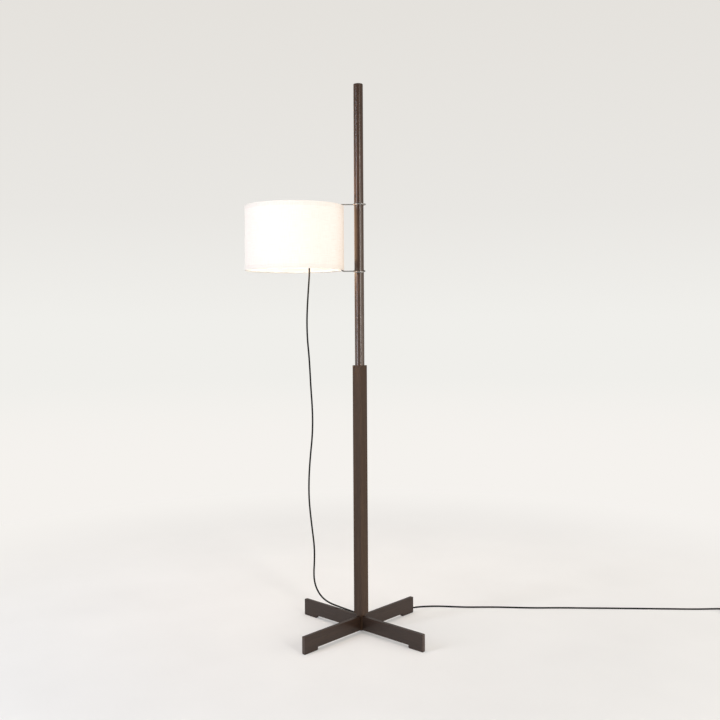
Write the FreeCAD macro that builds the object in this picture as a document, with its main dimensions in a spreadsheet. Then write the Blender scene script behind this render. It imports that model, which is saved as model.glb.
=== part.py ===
import FreeCAD, Part
import math
import os
import Sketcher

# A floor lamp: crossed boards on edge carry a square post and a round mast, and a wire carrier
# slides and turns on the mast with a drum shade, its lampholder and a cord-pulled switch.
# Frame: +Z up, origin on the floor on the mast's axis, +X to the right, +Y away from the viewer.
# Lengths are millimetres and angles are degrees.

Vector = FreeCAD.Vector

SIZES = {
    # crossed boards of the base
    "board_span": 483.0,
    "board_thick": 12.0,
    "base_high": 50.0,
    "board_rise": 9.0,
    "foot_long": 52.0,
    "board_turn": 47.3,
    "pad_thick": 2.0,
    "pad_inset": 1.0,
    "board_round": 0.8,
    # square post
    "post_side": 31.0,
    "post_top": 808.0,
    "shoulder_rise": 57.0,
    "core_side": 20.0,
    "post_round": 0.6,
    # round mast
    "mast_dia": 28.8,
    "mast_top": 1660.0,
    "mast_round": 2.0,
    # bolt that holds the post down on the boards
    "bolt_dia": 6.0,
    "bolt_above_boards": 11.0,
    "bolt_head_dia": 10.0,
    "bolt_head_high": 4.0,
    "washer_dia": 16.0,
    "washer_thick": 1.2,
    "foot_insert_dia": 9.0,
    "foot_insert_long": 13.0,
    # threaded joint between post and mast
    "stud_dia": 8.0,
    "stud_reach": 17.0,
    "joint_insert_dia": 13.0,
    "joint_insert_long": 20.0,
    # wire carrier
    "wire_dia": 3.8,
    "upper_loop_bore": 32.6,
    "upper_loop_shift": 1.5,
    "lower_loop_bore": 30.0,
    "lower_loop_tilt": 11.5,
    "wire_bend": 5.0,
    "over_rim": 3.1,
    "under_rim": 0.6,
    "stay_gap": 0.6,
    "weld_step": 0.1,
    # drum shade, whose gap is measured from the mast's side
    "shade_gap": 31.0,
    "shade_bottom": 1095.5,
    "shade_high": 194.5,
    "shade_dia": 300.0,
    "shade_wall": 1.2,
    "hoop_dia": 3.0,
    "hoop_inset": 1.0,
    "spider_arm_dia": 2.6,
    "spider_hub_dia": 30.0,
    "spider_hub_thick": 3.0,
    "spider_turn": 90.0,
    # screw that holds the shade under the upper wire
    "eye_dia": 18.0,
    "eye_thick": 3.0,
    "shade_screw_dia": 6.0,
    "screw_head_dia": 11.0,
    "screw_head_high": 3.5,
    "spacer_dia": 12.0,
    "cap_nut_dia": 12.0,
    "cap_nut_high": 8.0,
    "cap_nut_wall": 2.0,
    # bracket under the lampholder
    "bracket_rise": 20.5,
    "bracket_wide": 14.0,
    "bracket_thick": 2.0,
    "bracket_past_holder": 13.0,
    "bracket_past_stay": 4.4,
    "collar_dia": 9.6,
    "collar_high": 7.0,
    "grub_dia": 3.0,
    # lampholder
    "holder_dia": 40.0,
    "holder_high": 46.0,
    "cap_high": 18.0,
    "holder_floor": 3.0,
    "holder_wall": 2.0,
    "skirt_spigot": 6.0,
    "skirt_bore": 33.0,
    "core_low": 9.0,
    "core_top": 22.0,
    "core_hole": 5.0,
    "thread_shell_dia": 29.2,
    "thread_shell_wall": 1.0,
    "thread_shell_high": 20.0,
    "tongue_dia": 8.0,
    "tongue_thick": 2.5,
    "nipple_dia": 10.0,
    "nipple_bore": 7.0,
    "nipple_above": 7.0,
    "nut_across": 16.0,
    "nut_high": 3.0,
    # bulb
    "bulb_dia": 60.0,
    "bulb_centre": 94.5,
    "bulb_wall": 0.8,
    "bulb_neck_dia": 24.6,
    "bulb_cap_dia": 26.0,
    "bulb_cap_wall": 0.6,
    "bulb_cap_high": 23.5,
    "bulb_tip_dia": 8.0,
    "bulb_tip_high": 2.0,
    "insulator_high": 2.5,
    "stem_flare_dia": 21.0,
    "stem_dia": 7.0,
    "stem_high": 40.0,
    # cord-pulled switch
    "switch_offset": 44.4,
    "switch_dia": 22.0,
    "switch_high": 26.0,
    "switch_floor": 2.5,
    "switch_wall": 1.8,
    "switch_lid": 3.0,
    "nose_dia": 10.0,
    "nose_long": 8.0,
    "sleeve_dia": 7.4,
    "sleeve_lip_dia": 9.2,
    "sleeve_lip": 2.3,
    "sleeve_stand": 0.2,
    "flange_dia": 15.0,
    "flange_low": 14.5,
    "flange_thick": 2.0,
    "bridge_thick": 1.0,
    "contact_dia": 2.4,
    "contact_offset": 6.0,
    "contact_gap": 0.4,
    "spring_wire": 0.8,
    "spring_dia": 12.0,
    "spring_turns": 5.0,
    "lead_dia": 2.4,
    "lead_offset": 3.0,
    "lead_rise": 6.5,
    "lead_reach": 2.0,
    # cord, coil, tie and plug
    "cord_dia": 5.0,
    "cord_gap": 0.3,
    "coil_centre_x": 1192.0,
    "coil_centre_y": 147.5,
    "coil_radius": 32.5,
    "coil_pitch": 5.6,
    "coil_climb": 6.0,
    "tie_thick": 0.5,
    "tie_gap": 0.4,
    "tie_wide": 5.0,
    "relief_dia": 10.0,
    "relief_tip_dia": 6.0,
    "relief_long": 24.0,
    "plug_long": 34.0,
    "plug_wide": 36.0,
    "plug_high": 18.4,
    "plug_neck_wide": 15.0,
    "plug_round": 4.0,
    "pin_dia": 4.0,
    "pin_long": 19.0,
    "pin_spacing": 19.0,
    "pin_root": 6.0,
    # clearances
    "fit_gap": 0.05,
    "overrun": 5.0,
}

# the cord's route from inside the pull sleeve down to the floor, and on to the coil
HANG_ROUTE = [
    (-151.0, 0.0, 1127.0), (-151.0, 0.0, 1083.0), (-153.0, 1.0, 1036.0), (-156.5, 2.0, 985.0),
    (-158.0, 1.0, 935.0), (-156.5, 0.0, 886.0), (-152.0, 0.0, 838.0), (-149.3, 1.6, 788.0),
    (-147.0, 2.0, 738.0), (-143.5, 2.0, 688.0), (-142.0, 1.0, 636.0), (-144.0, 0.0, 588.0),
    (-149.0, 0.0, 541.0),
]
FLOOR_ROUTE = [
    (-153.0, 1.0, 493.0), (-155.0, 2.0, 447.0), (-154.5, 3.0, 399.0), (-150.0, 3.0, 350.0),
    (-144.5, 3.0, 303.0), (-139.0, 3.0, 258.0), (-138.5, 4.0, 216.0), (-141.0, 6.0, 176.0),
    (-138.5, 14.0, 143.0), (-128.5, 26.5, 112.5), (-112.0, 41.0, 87.5), (-92.5, 60.0, 65.0),
    (-71.0, 82.5, 57.5), (-50.0, 103.0, 44.0), (-28.0, 126.0, 24.0), (-3.0, 144.5, 7.5),
    (27.0, 157.0, 2.5), (62.0, 167.0, 2.5), (104.0, 181.0, 2.5),
    (146.0, 201.0, 2.5), (178.0, 217.0, 2.5), (216.0, 224.5, 2.5), (258.0, 225.0, 2.5),
    (301.0, 219.0, 2.5), (346.0, 213.5, 2.5), (393.0, 213.5, 2.5), (442.0, 212.5, 2.5),
    (491.0, 208.5, 2.5), (541.0, 203.5, 2.5), (591.0, 201.5, 2.5), (640.0, 202.0, 2.5),
    (690.0, 200.0, 2.5), (741.0, 197.0, 2.5), (792.0, 195.5, 2.5), (843.0, 192.5, 2.5),
    (894.0, 190.5, 2.5), (945.0, 187.0, 2.5), (996.0, 185.0, 2.5), (1045.0, 182.0, 2.5),
    (1093.0, 180.5, 2.5), (1139.0, 180.0, 3.4),
]
# an arc at a point of the cord's route begins this share of the shorter run away from it
ARC_SHARE = 0.45
# turns of the coil: this many spiral in, the climb takes half a turn, and as many spiral out
SPIRAL_TURNS = 1.75
CLIMB_TURNS = 0.5
# the coil's direction at a point is taken over this share of a turn
COIL_STEP_SHARE = 0.001
# the bulb's cone meets its ball at these shares of the ball's radius, out and down
CONE_OUT_SHARE = 0.866
CONE_DOWN_SHARE = 0.5
SPIDER_ARMS = 3
HEX_SIDES = 6


class Size:
    """A size with the spreadsheet expression that gives it; sums and shares keep both."""

    def __init__(self, number, text):
        self.number = number
        self.text = text

    def join(self, other, sign, number):
        other_text = other.text if isinstance(other, Size) else repr(other)
        return Size(number, f"({self.text} {sign} {other_text})")

    def __add__(self, other):
        return self.join(other, "+", self.number + float(other))

    def __sub__(self, other):
        return self.join(other, "-", self.number - float(other))

    def __mul__(self, share):
        return self.join(share, "*", self.number * float(share))

    def __truediv__(self, share):
        return self.join(share, "/", self.number / float(share))

    def __neg__(self):
        return Size(-self.number, f"(-{self.text})")

    def __float__(self):
        return float(self.number)


doc = FreeCAD.newDocument("floor_lamp")
sheet = doc.addObject("Spreadsheet::Sheet", "sizes")


def fill_sheet():
    """Write each driving size in the sheet beside its alias, and return them by name."""
    named = {}
    for row, (alias, number) in enumerate(SIZES.items(), start=1):
        sheet.set(f"A{row}", alias)
        sheet.set(f"B{row}", str(number))
        sheet.setAlias(f"B{row}", alias)
        named[alias] = Size(number, f"sizes.{alias}")
    doc.recompute()
    return named


named = fill_sheet()


class Named:
    """The sheet's sizes as attributes."""

    def __getattr__(self, alias):
        return named[alias]


v = Named()
parts = []


def bind(thing, prop, size):
    """Give a property a size, bound to the sheet where the size comes from it."""
    if isinstance(size, Size):
        thing.setExpression(prop, size.text)
    else:
        setattr(thing, prop, size)


def place(thing, x=0, y=0, z=0, turn=None):
    """Put a piece at x, y, z, after a turn given as (axis, degrees)."""
    rotation = FreeCAD.Rotation(turn[0], float(turn[1])) if turn else FreeCAD.Rotation()
    thing.Placement = FreeCAD.Placement(Vector(float(x), float(y), float(z)), rotation)
    for letter, size in (("x", x), ("y", y), ("z", z)):
        if isinstance(size, Size):
            thing.setExpression(f"Placement.Base.{letter}", size.text)
    return thing


def keep(thing, label):
    """Mark an object as a finished sub-part, whose label names its file."""
    thing.Label = label
    parts.append(thing)
    return thing


def origin_plane(body, role):
    return next(f for f in body.Origin.OriginFeatures if f.Role == role)


def new_body(label):
    body = doc.addObject("PartDesign::Body", label)
    return keep(body, label)


def new_sketch(body, role):
    sketch = body.newObject("Sketcher::SketchObject", f"{body.Name}_sketch")
    sketch.AttachmentSupport = [(origin_plane(body, role), "")]
    sketch.MapMode = "FlatFace"
    return sketch


def pin_coordinate(sketch, kind, geometry, end, size):
    """Fix one coordinate of a point: on the axis where it is zero, else bound to its size."""
    axis = {"DistanceX": -2, "DistanceY": -1}[kind]
    if float(size) == 0:
        sketch.addConstraint(Sketcher.Constraint("PointOnObject", geometry, end, axis))
        return
    index = sketch.addConstraint(Sketcher.Constraint(kind, -1, 1, geometry, end, float(size)))
    if isinstance(size, Size):
        sketch.setExpression(f"Constraints[{index}]", size.text)


def add_outline(sketch, points):
    """A closed outline of straight lines through points given in sizes."""
    first = sketch.GeometryCount
    corners = [Vector(float(x), float(y), 0) for x, y in points]
    count = len(corners)
    for i in range(count):
        sketch.addGeometry(Part.LineSegment(corners[i], corners[(i + 1) % count]), False)
    for i in range(count):
        after = first + (i + 1) % count
        sketch.addConstraint(Sketcher.Constraint("Coincident", first + i, 2, after, 1))
    for i, (x, y) in enumerate(points):
        pin_coordinate(sketch, "DistanceX", first + i, 1, x)
        pin_coordinate(sketch, "DistanceY", first + i, 1, y)


def add_circle(sketch, x, y, radius):
    circle = Part.Circle(Vector(float(x), float(y), 0), Vector(0, 0, 1), float(radius))
    geometry = sketch.addGeometry(circle, False)
    pin_coordinate(sketch, "DistanceX", geometry, 3, x)
    pin_coordinate(sketch, "DistanceY", geometry, 3, y)
    index = sketch.addConstraint(Sketcher.Constraint("Radius", geometry, float(radius)))
    if isinstance(radius, Size):
        sketch.setExpression(f"Constraints[{index}]", radius.text)


def turned(label, outline, x=0, y=0, z=0, turn=None):
    """A turned piece: its half section, as (radius, height) points, goes round the local Z axis."""
    body = new_body(label)
    sketch = new_sketch(body, "XZ_Plane")
    add_outline(sketch, outline)
    solid = body.newObject("PartDesign::Revolution", f"{label}_turned")
    solid.Profile = sketch
    solid.ReferenceAxis = (sketch, ["V_Axis"])
    solid.Angle = 360
    place(body, x, y, z, turn)
    return body


def tube_outline(outer, inner, low, high):
    """The half section of a plain tube, from its diameters and end heights."""
    return [(inner / 2, low), (outer / 2, low), (outer / 2, high), (inner / 2, high)]


def rod_outline(dia, low, high):
    return [(0, low), (dia / 2, low), (dia / 2, high), (0, high)]


def pad(body, sketch, length, name, midplane=False, backward=False):
    solid = body.newObject("PartDesign::Pad", f"{body.Name}_{name}")
    solid.Profile = sketch
    bind(solid, "Length", length)
    solid.Midplane = midplane
    solid.Reversed = backward
    return solid


def pocket(body, sketch, length, name, midplane=False, backward=False):
    """Cut a sketch's outline out of a body and check that the cut took something away."""
    doc.recompute()
    before = body.Shape.Volume
    cut = body.newObject("PartDesign::Pocket", f"{body.Name}_{name}")
    cut.Profile = sketch
    bind(cut, "Length", length)
    cut.Midplane = midplane
    cut.Reversed = backward
    doc.recompute()
    if not body.Shape.Volume < before:
        raise ValueError(f"{body.Label}: {name} cuts nothing")
    return cut


def round_edges(body, base, edges, radius, name):
    """Round the chosen edges of a feature; edges is a test on an edge."""
    doc.recompute()
    chosen = [f"Edge{i + 1}" for i, edge in enumerate(base.Shape.Edges) if edges(edge)]
    fillet = body.newObject("PartDesign::Fillet", f"{body.Name}_{name}")
    fillet.Base = (base, chosen)
    bind(fillet, "Radius", radius)
    return fillet


def cylinder(name, radius, height, x=0, y=0, z=0, turn=None):
    solid = doc.addObject("Part::Cylinder", name)
    bind(solid, "Radius", radius)
    bind(solid, "Height", height)
    return place(solid, x, y, z, turn)


def torus(name, ring_radius, wire_radius, x=0, y=0, z=0, turn=None):
    solid = doc.addObject("Part::Torus", name)
    bind(solid, "Radius1", ring_radius)
    bind(solid, "Radius2", wire_radius)
    return place(solid, x, y, z, turn)


def joined(name, solids):
    fused = doc.addObject("Part::MultiFuse", name)
    fused.Shapes = solids
    return fused


def less(name, base, tool):
    cut = doc.addObject("Part::Cut", name)
    cut.Base = base
    cut.Tool = tool
    return cut


X_AXIS = Vector(1, 0, 0)
Y_AXIS = Vector(0, 1, 0)
Z_AXIS = Vector(0, 0, 1)
QUARTER = 90
HALF = 180

SHADE_X = -(v.mast_dia / 2 + v.shade_gap + v.shade_dia / 2)
SHADE_TOP = v.shade_bottom + v.shade_high
UPPER_WIRE_Z = SHADE_TOP + v.over_rim + v.wire_dia / 2
LOWER_WIRE_Z = v.shade_bottom - v.under_rim - v.wire_dia / 2
HOOP_REACH = v.shade_dia / 2 - v.shade_wall - v.fit_gap - v.hoop_dia / 2
STAY_REACH = HOOP_REACH - v.hoop_dia / 2 - v.stay_gap - v.wire_dia / 2
TOP_HOOP_Z = SHADE_TOP - v.hoop_inset - v.hoop_dia / 2
BOTTOM_HOOP_Z = v.shade_bottom + v.hoop_inset + v.hoop_dia / 2
BRACKET_Z = v.shade_bottom + v.bracket_rise
SEAT_Z = BRACKET_Z + v.bracket_thick
SWITCH_X = SHADE_X + v.switch_offset
STAY_X = SHADE_X + STAY_REACH
EYE_LOW_Z = UPPER_WIRE_Z - v.eye_thick / 2
EYE_TOP_Z = UPPER_WIRE_Z + v.eye_thick / 2


# Path helpers for wires and cords


def corner_arc(start, apex, end):
    """The arc that leaves start towards apex and arrives at end from apex."""
    middle = (start + end) / 2
    half_chord = start.distanceToPoint(end) / 2
    half_turn = math.atan2(apex.distanceToPoint(middle), half_chord)
    rise = math.tan(half_turn / 2) / math.tan(half_turn)
    return Part.Arc(start, middle + (apex - middle) * rise, end).toShape()


def bent_path(points, trim):
    """Straight runs joined by tangent arcs; trim(before, after, half_turn) gives how much of
    each run an arc takes. Returns the edges and the arcs' radii."""
    edges = []
    radii = []
    reached = points[0]
    for before, point, after in zip(points, points[1:], points[2:]):
        come = (point - before).normalize()
        leave = (after - point).normalize()
        half_turn = come.getAngle(leave) / 2
        taken = trim(point.distanceToPoint(before), after.distanceToPoint(point), half_turn)
        start = point - come * taken
        end = point + leave * taken
        edges.append(Part.LineSegment(reached, start).toShape())
        edges.append(corner_arc(start, point, end))
        radii.append(taken / math.tan(half_turn))
        reached = end
    edges.append(Part.LineSegment(reached, points[-1]).toShape())
    return edges, radii


def biarc(start, start_way, end, end_way):
    """Two arcs that leave start along start_way and reach end along end_way."""
    across = end - start
    ways = start_way + end_way
    bend = 2 * (1 - start_way.dot(end_way))
    lean = across.dot(ways)
    reach = (math.sqrt(lean * lean + bend * across.dot(across)) - lean) / bend
    first = start + start_way * reach
    last = end - end_way * reach
    middle = (first + last) / 2
    return [corner_arc(start, first, middle), corner_arc(middle, last, end)]


def swept(edges, dia):
    """A solid of round section along joined edges."""
    path = Part.Wire(edges)
    start = path.Edges[0].valueAt(path.Edges[0].FirstParameter)
    way = path.Edges[0].tangentAt(path.Edges[0].FirstParameter)
    section = Part.Wire(Part.Circle(start, way, float(dia) / 2).toShape())
    shell = Part.BRepOffsetAPI.MakePipeShell(path)
    shell.add(section)
    shell.build()
    shell.makeSolid()
    solid = shell.shape()
    expected = math.pi * (float(dia) / 2) ** 2 * path.Length
    return solid, path.Length, solid.Volume / expected


def free_form(label, shape, x=0, y=0, z=0):
    """A piece whose shape Part's own functions made, placed afterwards."""
    solid = doc.addObject("Part::Feature", label)
    solid.Shape = shape
    return place(solid, x, y, z)


# Base


def board(label, notch_low, notch_high, turn):
    """A board on edge with two feet, a half-lap notch at its middle and the bolt's hole."""
    body = new_body(label)
    end = v.board_span / 2
    inner = end - v.foot_long
    sketch = new_sketch(body, "XZ_Plane")
    add_outline(sketch, [
        (-end, v.pad_thick), (-inner, v.pad_thick), (-inner, v.board_rise), (inner, v.board_rise),
        (inner, v.pad_thick), (end, v.pad_thick), (end, v.base_high), (-end, v.base_high)])
    plank = pad(body, sketch, v.board_thick, "plank", midplane=True)

    def long_or_end_edge(edge):
        ends = [p.Point for p in edge.Vertexes]
        outside = all(abs(abs(p.x) - float(end)) < float(v.fit_gap) for p in ends)
        top = all(abs(p.z - float(v.base_high)) < float(v.fit_gap) for p in ends)
        upright = abs(ends[0].z - ends[1].z) > float(v.board_thick)
        return (outside and upright) or top

    round_edges(body, plank, long_or_end_edge, v.board_round, "round")
    notch = new_sketch(body, "XZ_Plane")
    side = v.board_thick / 2 + v.fit_gap
    add_outline(notch, [(-side, notch_low), (side, notch_low), (side, notch_high),
                        (-side, notch_high)])
    pocket(body, notch, v.board_thick + v.overrun, "notch", midplane=True)
    hole = new_sketch(body, "XY_Plane")
    add_circle(hole, 0, 0, v.bolt_dia / 2 + v.fit_gap)
    pocket(body, hole, v.base_high + v.overrun, "bolt_hole", backward=True)
    place(body, turn=(Z_AXIS, turn))
    return body


LAP_Z = (v.board_rise + v.base_high) / 2
board("lower_board", LAP_Z - v.fit_gap, v.base_high + v.overrun, v.board_turn)
board("upper_board", v.board_rise - v.overrun, LAP_Z + v.fit_gap, v.board_turn + QUARTER)


def foot_pad(label, turn):
    """A felt pad under the foot at a board's end."""
    body = new_body(label)
    sketch = new_sketch(body, "XY_Plane")
    far = v.board_span / 2 - v.pad_inset
    near = v.board_span / 2 - v.foot_long + v.pad_inset
    side = v.board_thick / 2 - v.pad_inset
    add_outline(sketch, [(near, -side), (far, -side), (far, side), (near, side)])
    pad(body, sketch, v.pad_thick, "felt")
    place(body, turn=(Z_AXIS, turn))


for number, corner in enumerate(("right_rear", "left_rear", "left_front", "right_front")):
    foot_pad(f"foot_pad_{corner}", v.board_turn + QUARTER * number)


def post():
    """The square post: its narrow foot straddles the crossed boards in a crosswise slot."""
    body = new_body("post")
    upper = new_sketch(body, "XZ_Plane")
    side = v.post_side / 2
    add_outline(upper, [(-side, v.shoulder_rise), (side, v.shoulder_rise), (side, v.post_top),
                        (-side, v.post_top)])
    shaft = pad(body, upper, v.post_side, "shaft", midplane=True)

    def upright(edge):
        return edge.BoundBox.ZLength > float(v.post_side)

    round_edges(body, shaft, upright, v.post_round, "round")
    lower = new_sketch(body, "XZ_Plane")
    core = v.core_side / 2
    add_outline(lower, [(-core, v.board_rise), (core, v.board_rise), (core, v.shoulder_rise),
                        (-core, v.shoulder_rise)])
    pad(body, lower, v.core_side, "core", midplane=True)
    slot = v.board_thick / 2 + v.fit_gap
    low = v.board_rise - v.overrun
    for role, name in (("XZ_Plane", "slot_along"), ("YZ_Plane", "slot_across")):
        cut = new_sketch(body, role)
        add_outline(cut, [(-slot, low), (slot, low), (slot, v.base_high), (-slot, v.base_high)])
        pocket(body, cut, v.core_side + v.overrun, name, midplane=True)
    foot_bore = new_sketch(body, "XY_Plane")
    add_circle(foot_bore, 0, 0, v.foot_insert_dia / 2 + v.fit_gap)
    pocket(body, foot_bore, v.base_high + v.foot_insert_long, "foot_bore", backward=True)
    top_bore = body.newObject("PartDesign::Groove", "post_top_bore")
    half = new_sketch(body, "XZ_Plane")
    radius = v.joint_insert_dia / 2 + v.fit_gap
    floor = v.post_top - v.joint_insert_long
    add_outline(half, [(0, floor), (radius, floor), (radius, v.post_top + v.overrun),
                       (0, v.post_top + v.overrun)])
    top_bore.Profile = half
    top_bore.ReferenceAxis = (half, ["V_Axis"])
    top_bore.Angle = 360
    body.Tip = top_bore
    place(body, turn=(Z_AXIS, v.board_turn))


post()
turned("post_foot_insert",
       tube_outline(v.foot_insert_dia, v.bolt_dia + v.fit_gap * 2, 0, v.foot_insert_long),
       z=v.base_high)
turned("base_washer",
       tube_outline(v.washer_dia, v.bolt_dia + v.fit_gap * 2, 0, v.washer_thick),
       z=v.board_rise - v.washer_thick)
BOLT_SEAT_Z = v.board_rise - v.washer_thick
BOLT_TOP = v.base_high - BOLT_SEAT_Z + v.bolt_above_boards
turned("base_bolt",
       [(0, -v.bolt_head_high), (v.bolt_head_dia / 2, -v.bolt_head_high),
        (v.bolt_head_dia / 2, 0), (v.bolt_dia / 2, 0), (v.bolt_dia / 2, BOLT_TOP), (0, BOLT_TOP)],
       z=BOLT_SEAT_Z)


# Mast and its joint with the post


def mast():
    """The round mast, eased at its free top and bored below for its insert."""
    radius = v.mast_dia / 2
    bore = v.joint_insert_dia / 2 + v.fit_gap
    height = v.mast_top - v.post_top
    body = turned("mast", [
        (bore, 0), (radius, 0), (radius, height), (0, height), (0, v.joint_insert_long),
        (bore, v.joint_insert_long)], z=v.post_top)

    def top_rim(edge):
        box = edge.BoundBox
        flat = box.ZLength < float(v.fit_gap)
        return flat and abs(box.ZMax - float(height)) < float(v.fit_gap)

    round_edges(body, body.Tip, top_rim, v.mast_round, "round")


def joint_insert(label, low, high):
    """A threaded insert pressed into the post's or the mast's bore."""
    bore = v.stud_dia + v.fit_gap * 2
    turned(label, tube_outline(v.joint_insert_dia, bore, low, high), z=v.post_top)


mast()
joint_insert("post_top_insert", -v.joint_insert_long, 0)
joint_insert("mast_insert", 0, v.joint_insert_long)
turned("joint_stud", rod_outline(v.stud_dia, -v.stud_reach, v.stud_reach), z=v.post_top)


# Wire carrier


def upper_wire():
    """The upper wire: a loop round the mast, a straight rod over the rim and an eye at its end."""
    wire = v.wire_dia / 2
    loop_wire = wire + v.weld_step
    ring = v.upper_loop_bore / 2 + loop_wire
    loop = torus("upper_loop", ring, loop_wire, x=v.upper_loop_shift, z=UPPER_WIRE_Z)
    rod_start = v.upper_loop_shift - ring
    rod_end = SHADE_X + v.eye_dia / 2 - wire
    rod = cylinder("upper_rod", wire, rod_start - rod_end, x=rod_end, z=UPPER_WIRE_Z,
                   turn=(Y_AXIS, QUARTER))
    eye = cylinder("upper_eye", v.eye_dia / 2, v.eye_thick, x=SHADE_X, z=EYE_LOW_Z)
    hole = cylinder("upper_eye_hole", v.shade_screw_dia / 2 + v.fit_gap,
                    v.eye_thick + v.overrun * 2, x=SHADE_X, z=EYE_LOW_Z - v.overrun)
    solid = joined("upper_wire_solid", [loop, rod, eye])
    keep(less("upper_wire", solid, hole), "upper_wire")


def lower_wire():
    """The lower wire: a tilted loop round the mast, a rod under the rim, then a stay that rises
    inside the shade's wall to the upper wire."""
    loop_wire = v.wire_dia / 2 + v.weld_step
    ring = v.lower_loop_bore / 2 + loop_wire
    loop = torus("lower_loop", ring, loop_wire, z=LOWER_WIRE_Z, turn=(X_AXIS, v.lower_loop_tilt))
    corner = Vector(float(STAY_X), 0, float(LOWER_WIRE_Z))
    top = Vector(float(STAY_X), 0, float(UPPER_WIRE_Z - v.wire_dia / 2))
    start = Vector(-float(ring), 0, float(LOWER_WIRE_Z))
    bend = float(v.wire_bend)
    edges, _ = bent_path([start, corner, top], lambda before, after, half: bend * math.tan(half))
    rod = free_form("lower_rod_and_stay", swept(edges, v.wire_dia)[0])
    keep(joined("lower_wire", [loop, rod]), "lower_wire")


upper_wire()
lower_wire()


# Shade

turned("shade_drum",
       tube_outline(v.shade_dia, v.shade_dia - v.shade_wall * 2, 0, v.shade_high),
       x=SHADE_X, z=v.shade_bottom)
keep(torus("shade_bottom_hoop", HOOP_REACH, v.hoop_dia / 2, x=SHADE_X, z=BOTTOM_HOOP_Z),
     "shade_bottom_hoop")


def spider():
    """The shade's welded top frame: a hoop, a hub and the arms between them."""
    hoop = torus("spider_hoop", HOOP_REACH, v.hoop_dia / 2, x=SHADE_X, z=TOP_HOOP_Z)
    hub = cylinder("spider_hub", v.spider_hub_dia / 2, v.spider_hub_thick, x=SHADE_X,
                   z=TOP_HOOP_Z - v.spider_hub_thick / 2)
    arms = []
    start = v.spider_hub_dia / 4
    for number in range(SPIDER_ARMS):
        turn = float(v.spider_turn) + 360 / SPIDER_ARMS * number
        lay = FreeCAD.Rotation(Z_AXIS, turn) * FreeCAD.Rotation(Y_AXIS, QUARTER)
        across = math.cos(math.radians(turn))
        along = math.sin(math.radians(turn))
        arm = cylinder(f"spider_arm_{number + 1}", v.spider_arm_dia / 2, HOOP_REACH - start)
        place(arm, x=SHADE_X + start * across, y=start * along, z=TOP_HOOP_Z,
              turn=(lay.Axis, math.degrees(lay.Angle)))
        arms.append(arm)
    hole = cylinder("spider_hub_hole", v.shade_screw_dia / 2 + v.fit_gap,
                    v.spider_hub_thick + v.overrun * 2, x=SHADE_X,
                    z=TOP_HOOP_Z - v.spider_hub_thick / 2 - v.overrun)
    keep(less("spider_frame", joined("spider_solid", [hoop, hub] + arms), hole), "spider_frame")


spider()
HUB_TOP_Z = TOP_HOOP_Z + v.spider_hub_thick / 2
HUB_LOW_Z = TOP_HOOP_Z - v.spider_hub_thick / 2
SCREW_LONG = EYE_TOP_Z - HUB_LOW_Z + v.cap_nut_high - v.cap_nut_wall
turned("shade_spacer",
       tube_outline(v.spacer_dia, v.shade_screw_dia + v.fit_gap * 2, 0, EYE_LOW_Z - HUB_TOP_Z),
       x=SHADE_X, z=HUB_TOP_Z)
turned("shade_screw",
       [(0, -v.screw_head_high), (v.screw_head_dia / 2, -v.screw_head_high),
        (v.screw_head_dia / 2, 0), (v.shade_screw_dia / 2, 0),
        (v.shade_screw_dia / 2, SCREW_LONG), (0, SCREW_LONG)],
       x=SHADE_X, z=HUB_LOW_Z)
NUT_BORE = v.shade_screw_dia / 2 + v.fit_gap
NUT_DEPTH = v.cap_nut_high - v.cap_nut_wall + v.fit_gap
turned("shade_cap_nut",
       [(NUT_BORE, 0), (v.cap_nut_dia / 2, 0), (v.cap_nut_dia / 2, v.cap_nut_high / 2),
        (v.cap_nut_dia / 3, v.cap_nut_high), (0, v.cap_nut_high), (0, NUT_DEPTH),
        (NUT_BORE, NUT_DEPTH)],
       x=SHADE_X, z=EYE_TOP_Z)


# Bracket, collar and their screw


def bracket():
    """The flat strip from the stay to the lampholder, with its three holes."""
    body = new_body("holder_bracket")
    sketch = new_sketch(body, "XY_Plane")
    side = v.bracket_wide / 2
    near = STAY_REACH + v.bracket_past_stay
    narrow = v.collar_dia / 2
    taper = STAY_REACH - v.bracket_wide
    add_outline(sketch, [(-v.bracket_past_holder, -side), (taper, -side), (near, -narrow),
                         (near, narrow), (taper, side), (-v.bracket_past_holder, side)])
    pad(body, sketch, v.bracket_thick, "strip")
    holes = new_sketch(body, "XY_Plane")
    add_circle(holes, 0, 0, v.nipple_dia / 2 + v.fit_gap)
    add_circle(holes, v.switch_offset, 0, v.nose_dia / 2 + v.fit_gap)
    add_circle(holes, STAY_REACH, 0, v.wire_dia / 2 + v.fit_gap)
    pocket(body, holes, v.bracket_thick, "holes", backward=True)
    place(body, x=SHADE_X, z=BRACKET_Z)


bracket()


def stay_collar():
    """The collar clamped on the stay that carries the bracket, with a hole for its grub screw."""
    body = turned("stay_collar",
                  tube_outline(v.collar_dia, v.wire_dia + v.fit_gap * 2, 0, v.collar_high),
                  x=STAY_X, z=BRACKET_Z - v.collar_high)
    hole = new_sketch(body, "YZ_Plane")
    add_circle(hole, 0, v.collar_high / 2, v.grub_dia / 2 + v.fit_gap)
    pocket(body, hole, v.collar_dia, "grub_hole")


stay_collar()
GRUB_LONG = v.collar_dia / 2 - v.wire_dia / 2 - v.fit_gap
turned("collar_grub_screw", rod_outline(v.grub_dia, 0, GRUB_LONG),
       x=STAY_X - v.collar_dia / 2, z=BRACKET_Z - v.collar_high / 2, turn=(Y_AXIS, QUARTER))


# Lampholder, heights counted from the top of the bracket


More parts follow.
